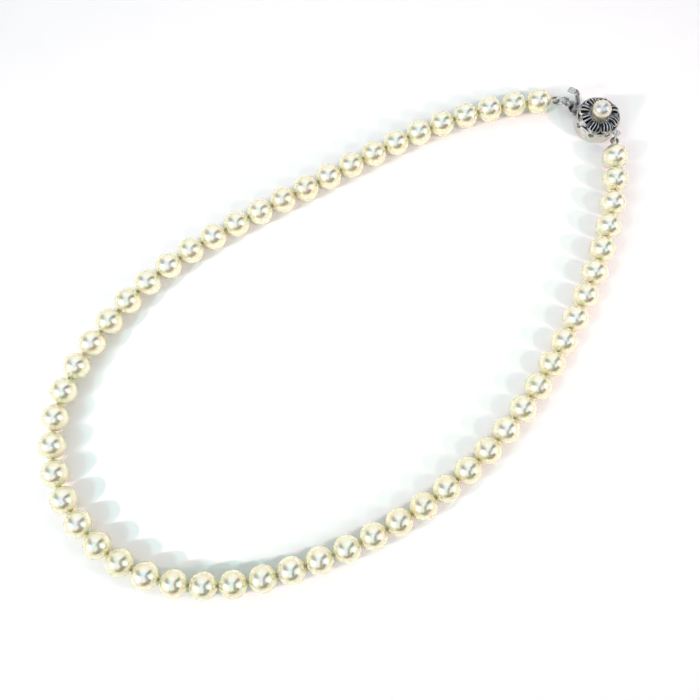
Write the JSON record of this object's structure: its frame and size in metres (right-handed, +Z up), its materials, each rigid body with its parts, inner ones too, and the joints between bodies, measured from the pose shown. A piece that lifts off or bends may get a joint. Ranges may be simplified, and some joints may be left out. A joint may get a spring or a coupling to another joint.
{
  "type": "pearl necklace",
  "caption": "Knotted strand of round cream pearls, closed by a silver flower box clasp with a spring tongue, a thumb trigger and a pearl centre.",
  "frame": {"origin": "middle of the closed loop's outline, on the plane that the pearls and the clasp's back rest on", "axes": "+Z up, away from that plane; +X along the loop's longer side, towards the clasp; +Y across it, towards the clasp"},
  "size_m": [0.1562, 0.1404, 0.0105],
  "materials": {
    "pearl_nacre": "gloss",
    "silk_thread": "matte",
    "gimp_wire": "satin",
    "silver": "polished",
    "oxidised_silver": "satin",
    "gilt_silver": "polished"
  },
  "bodies": {
    "link_01": {"pearls_01": "pearl_nacre", "silk_01": "silk_thread", "box_gimp": "gimp_wire"},
    "link_02": {"pearls_02": "pearl_nacre", "silk_02": "silk_thread"},
    "link_03": {"pearls_03": "pearl_nacre", "silk_03": "silk_thread"},
    "link_04": {"pearls_04": "pearl_nacre", "silk_04": "silk_thread"},
    "link_05": {"pearls_05": "pearl_nacre", "silk_05": "silk_thread"},
    "link_06": {"pearls_06": "pearl_nacre", "silk_06": "silk_thread"},
    "link_07": {"pearls_07": "pearl_nacre", "silk_07": "silk_thread"},
    "link_08": {"pearls_08": "pearl_nacre", "silk_08": "silk_thread"},
    "link_09": {"pearls_09": "pearl_nacre", "silk_09": "silk_thread"},
    "link_10": {"pearls_10": "pearl_nacre", "silk_10": "silk_thread"},
    "link_11": {"pearls_11": "pearl_nacre", "silk_11": "silk_thread"},
    "link_12": {"pearls_12": "pearl_nacre", "silk_12": "silk_thread"},
    "link_13": {"pearls_13": "pearl_nacre", "silk_13": "silk_thread"},
    "link_14": {"pearls_14": "pearl_nacre", "silk_14": "silk_thread"},
    "link_15": {"pearls_15": "pearl_nacre", "silk_15": "silk_thread"},
    "link_16": {"pearls_16": "pearl_nacre", "silk_16": "silk_thread"},
    "link_17": {"pearls_17": "pearl_nacre", "silk_17": "silk_thread"},
    "link_18": {"pearls_18": "pearl_nacre", "silk_18": "silk_thread"},
    "link_19": {"pearls_19": "pearl_nacre", "silk_19": "silk_thread", "tongue_gimp": "gimp_wire"},
    "box_ring": {"box_jump_ring": "silver"},
    "clasp_box": {"clasp_drum": "silver", "clasp_back_plate": "silver", "catch_bar": "silver", "box_eye": "silver", "drum_rim": "silver", "side_quatrefoils": "oxidised_silver", "flower_dome": "oxidised_silver", "petal_wires": "silver", "petal_rims": "silver", "pearl_cup": "gilt_silver", "pearl_peg": "gilt_silver", "centre_pearl": "pearl_nacre"},
    "tongue_ring": {"tongue_jump_ring": "silver"},
    "tongue": {"tongue_leaf": "silver"},
    "trigger": {"spring_leaf": "silver", "trigger_lever": "silver", "trigger_grip_beads": "oxidised_silver"}
  },
  "joints": [
    {"name": "strand_opening", "type": "hinge", "parent": "link_10", "child": "link_09", "pos_m": [-0.05232, -0.06307, 0.0035], "axis": [0, 0, -1], "range_deg": [0, 8]},
    {"name": "knot_08_09", "type": "hinge", "parent": "link_09", "child": "link_08", "pos_m": [-0.03128, -0.06673, 0.0035], "axis": [0, 0, -1], "range_deg": [0, 9.91]},
    {"name": "knot_07_08", "type": "hinge", "parent": "link_08", "child": "link_07", "pos_m": [-0.01028, -0.062, 0.0035], "axis": [0, 0, -1], "range_deg": [0, 11.27]},
    {"name": "knot_06_07", "type": "hinge", "parent": "link_07", "child": "link_06", "pos_m": [0.00946, -0.05328, 0.0035], "axis": [0, 0, -1], "range_deg": [0, 12.3]},
    {"name": "knot_05_06", "type": "hinge", "parent": "link_06", "child": "link_05", "pos_m": [0.02731, -0.04118, 0.0035], "axis": [0, 0, -1], "range_deg": [0, 12.98]},
    {"name": "knot_04_05", "type": "hinge", "parent": "link_05", "child": "link_04", "pos_m": [0.04244, -0.02581, 0.0035], "axis": [0, 0, -1], "range_deg": [0, 13.26]},
    {"name": "knot_03_04", "type": "hinge", "parent": "link_04", "child": "link_03", "pos_m": [0.05471, -0.00806, 0.0035], "axis": [0, 0, -1], "range_deg": [0, 13.17]},
    {"name": "knot_02_03", "type": "hinge", "parent": "link_03", "child": "link_02", "pos_m": [0.06466, 0.0111, 0.0035], "axis": [0, 0, -1], "range_deg": [0, 12.82]},
    {"name": "knot_01_02", "type": "hinge", "parent": "link_02", "child": "link_01", "pos_m": [0.07195, 0.03141, 0.0035], "axis": [0, 0, -1], "range_deg": [0, 12.2]},
    {"name": "knot_10_11", "type": "hinge", "parent": "link_10", "child": "link_11", "pos_m": [-0.06863, -0.04922, 0.0035], "axis": [0, 0, 1], "range_deg": [0, 5.96]},
    {"name": "knot_11_12", "type": "hinge", "parent": "link_11", "child": "link_12", "pos_m": [-0.07491, -0.02893, 0.0035], "axis": [0, 0, 1], "range_deg": [0, 4.27]},
    {"name": "knot_12_13", "type": "hinge", "parent": "link_12", "child": "link_13", "pos_m": [-0.0687, -0.0085, 0.0035], "axis": [0, 0, 1], "range_deg": [0, 3.56]},
    {"name": "knot_13_14", "type": "hinge", "parent": "link_13", "child": "link_14", "pos_m": [-0.05602, 0.00894, 0.0035], "axis": [0, 0, 1], "range_deg": [0, 3.52]},
    {"name": "knot_14_15", "type": "hinge", "parent": "link_14", "child": "link_15", "pos_m": [-0.03954, 0.02281, 0.0035], "axis": [0, 0, 1], "range_deg": [0, 3.99]},
    {"name": "knot_15_16", "type": "hinge", "parent": "link_15", "child": "link_16", "pos_m": [-0.02107, 0.03401, 0.0035], "axis": [0, 0, 1], "range_deg": [0, 4.78]},
    {"name": "knot_16_17", "type": "hinge", "parent": "link_16", "child": "link_17", "pos_m": [-0.0023, 0.04469, 0.0035], "axis": [0, 0, 1], "range_deg": [0, 5.61]},
    {"name": "knot_17_18", "type": "hinge", "parent": "link_17", "child": "link_18", "pos_m": [0.0166, 0.05514, 0.0035], "axis": [0, 0, 1], "range_deg": [0, 6.47]},
    {"name": "knot_18_19", "type": "hinge", "parent": "link_18", "child": "link_19", "pos_m": [0.03658, 0.06329, 0.0035], "axis": [0, 0, 1], "range_deg": [0, 7.56]},
    {"name": "box_loop_swivel", "type": "hinge", "parent": "link_01", "child": "box_ring", "pos_m": [0.07476, 0.05403, 0.0035], "axis": [0, 0, 1], "range_deg": [0, 16.05]},
    {"name": "box_eye_swivel", "type": "hinge", "parent": "box_ring", "child": "clasp_box", "pos_m": [0.07604, 0.05721, 0.0024], "axis": [0, 0, 1], "range_deg": [0, 16.05]},
    {"name": "tongue_loop_swivel", "type": "hinge", "parent": "link_19", "child": "tongue_ring", "pos_m": [0.05906, 0.06714, 0.0035], "axis": [0, 0, -1], "range_deg": [0, 16.05]},
    {"name": "tongue_eye_swivel", "type": "hinge", "parent": "tongue_ring", "child": "tongue", "pos_m": [0.06247, 0.06743, 0.0024], "axis": [0, 0, -1], "range_deg": [0, 16.05]},
    {"name": "trigger_press", "type": "hinge", "parent": "tongue", "child": "trigger", "pos_m": [0.07202, 0.06024, 0.00193], "axis": [-0.6018, -0.7986, 0], "range_deg": [0, 6.5], "stiffness_Nm_per_rad": 0.2, "springref_deg": -1.15}
  ],
  "couplings": [
    {"joint": "knot_08_09", "follows": "strand_opening", "ratio": 1.2325},
    {"joint": "knot_07_08", "follows": "strand_opening", "ratio": 1.4028},
    {"joint": "knot_06_07", "follows": "strand_opening", "ratio": 1.5315},
    {"joint": "knot_05_06", "follows": "strand_opening", "ratio": 1.6168},
    {"joint": "knot_04_05", "follows": "strand_opening", "ratio": 1.6515},
    {"joint": "knot_03_04", "follows": "strand_opening", "ratio": 1.6406},
    {"joint": "knot_02_03", "follows": "strand_opening", "ratio": 1.5968},
    {"joint": "knot_01_02", "follows": "strand_opening", "ratio": 1.5185},
    {"joint": "knot_10_11", "follows": "strand_opening", "ratio": 0.7387},
    {"joint": "knot_11_12", "follows": "strand_opening", "ratio": 0.528},
    {"joint": "knot_12_13", "follows": "strand_opening", "ratio": 0.4383},
    {"joint": "knot_13_14", "follows": "strand_opening", "ratio": 0.4338},
    {"joint": "knot_14_15", "follows": "strand_opening", "ratio": 0.4927},
    {"joint": "knot_15_16", "follows": "strand_opening", "ratio": 0.5907},
    {"joint": "knot_16_17", "follows": "strand_opening", "ratio": 0.6955},
    {"joint": "knot_17_18", "follows": "strand_opening", "ratio": 0.8031},
    {"joint": "knot_18_19", "follows": "strand_opening", "ratio": 0.9383},
    {"joint": "box_loop_swivel", "follows": "strand_opening", "ratio": 2},
    {"joint": "box_eye_swivel", "follows": "strand_opening", "ratio": 2},
    {"joint": "tongue_loop_swivel", "follows": "strand_opening", "ratio": 2},
    {"joint": "tongue_eye_swivel", "follows": "strand_opening", "ratio": 2}
  ]
}
